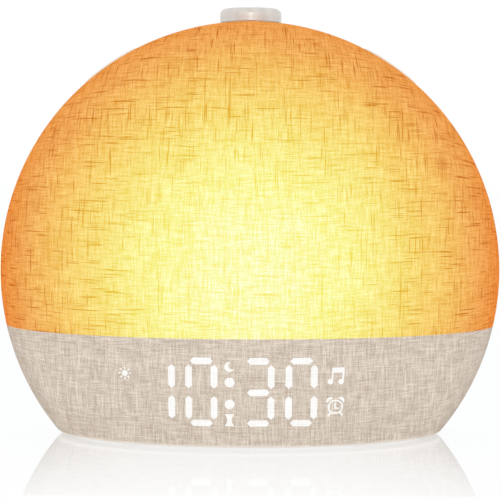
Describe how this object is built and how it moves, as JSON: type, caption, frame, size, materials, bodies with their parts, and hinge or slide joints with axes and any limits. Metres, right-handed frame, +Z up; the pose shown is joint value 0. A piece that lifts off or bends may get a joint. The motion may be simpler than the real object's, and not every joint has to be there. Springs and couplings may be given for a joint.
{
  "type": "sunrise alarm clock",
  "caption": "Round-fronted bedside sunrise alarm clock: linen-covered lamp dome over a digit display, a turning and pressing top knob, and press buttons round the rim.",
  "frame": {"origin": "middle of the underside, on the surface that the feet stand on", "axes": "+X to the right seen from the front, -Y towards the front, +Z up"},
  "size_m": [0.186, 0.092, 0.1581],
  "materials": {
    "linen": "woven linen, matt",
    "diffuser": "milky, translucent",
    "display_light": "lit white through the cloth",
    "panel": "matt moulded",
    "housing": "fine texture, matt",
    "white_inner": "matt moulded",
    "knob": "satin pearl",
    "button": "satin",
    "base": "matt moulded",
    "rubber": "matt",
    "board": "green solder mask",
    "chip": "moulded",
    "socket_plastic": "moulded",
    "black_plastic": "moulded",
    "steel": "zinc plated",
    "alu": "board core",
    "brass": "turned",
    "led": "clear over yellow phosphor",
    "cone": "pressed paper",
    "foam": "foam",
    "wire": "insulated"
  },
  "bodies": {
    "root": {"fabric_cover": "linen", "light_diffuser": "diffuser", "display_panel": "panel", "light_baffle": "white_inner", "light_reflector": "diffuser", "lamp_board": "alu", "lamp_leds": "led", "lamp_screws": "steel", "display_block": "white_inner", "display_segments": "display_light", "display_icon_guides": "display_light", "display_board": "board", "display_screws": "steel", "chassis_plate": "white_inner", "chassis_screws": "steel", "rear_housing": "housing", "housing_screws": "steel", "base_cover": "base", "base_screws": "steel", "rubber_feet": "rubber", "battery_door": "base", "battery_door_screw": "steel", "battery_holder": "black_plastic", "coin_cell": "steel", "ballast_plate": "steel", "main_board": "board", "board_chips": "chip", "board_capacitors": "chip", "board_connectors": "socket_plastic", "main_board_screws": "steel", "speaker_frame": "black_plastic", "speaker_magnet": "steel", "speaker_cone": "cone", "speaker_surround": "rubber", "speaker_gasket": "foam", "speaker_screws": "steel", "power_board": "board", "power_board_screws": "steel", "power_socket": "steel", "power_socket_tongue": "black_plastic", "encoder_body": "steel", "encoder_bushing": "brass", "encoder_nut": "brass", "knob_board": "board", "knob_board_screws": "steel", "button_boards": "board", "button_switches": "black_plastic", "button_board_screws": "steel", "wire_harness": "wire"},
    "knob_press_body": {"knob_plunger": "black_plastic"},
    "knob_body": {"knob_shaft": "steel", "knob_cap": "knob"},
    "upper_left_key": {"upper_left_button": "button", "switch_stem_upper_left": "socket_plastic"},
    "upper_right_key": {"upper_right_button": "button", "switch_stem_upper_right": "socket_plastic"},
    "lower_left_key": {"lower_left_button": "button", "switch_stem_lower_left": "socket_plastic"},
    "lower_right_key": {"lower_right_button": "button", "switch_stem_lower_right": "socket_plastic"}
  },
  "joints": [
    {"name": "knob_press", "type": "slide", "parent": "root", "child": "knob_press_body", "axis": [0, 0, -1], "range_m": [0, 0.0005], "stiffness_N_per_m": 600, "springref_m": -0.003},
    {"name": "knob_turn", "type": "hinge", "parent": "knob_press_body", "child": "knob_body", "pos_m": [0, 0.022, 0.15], "axis": [0, 0, 1], "continuous": true},
    {"name": "upper_left_press", "type": "slide", "parent": "root", "child": "upper_left_key", "axis": [0.5664, 0, -0.8241], "range_m": [0, 0.0005], "stiffness_N_per_m": 500, "springref_m": -0.002},
    {"name": "upper_right_press", "type": "slide", "parent": "root", "child": "upper_right_key", "axis": [-0.5664, 0, -0.8241], "range_m": [0, 0.0005], "stiffness_N_per_m": 500, "springref_m": -0.002},
    {"name": "lower_left_press", "type": "slide", "parent": "root", "child": "lower_left_key", "axis": [0.9781, 0, -0.2079], "range_m": [0, 0.0005], "stiffness_N_per_m": 500, "springref_m": -0.002},
    {"name": "lower_right_press", "type": "slide", "parent": "root", "child": "lower_right_key", "axis": [-0.9781, 0, -0.2079], "range_m": [0, 0.0005], "stiffness_N_per_m": 500, "springref_m": -0.002}
  ]
}
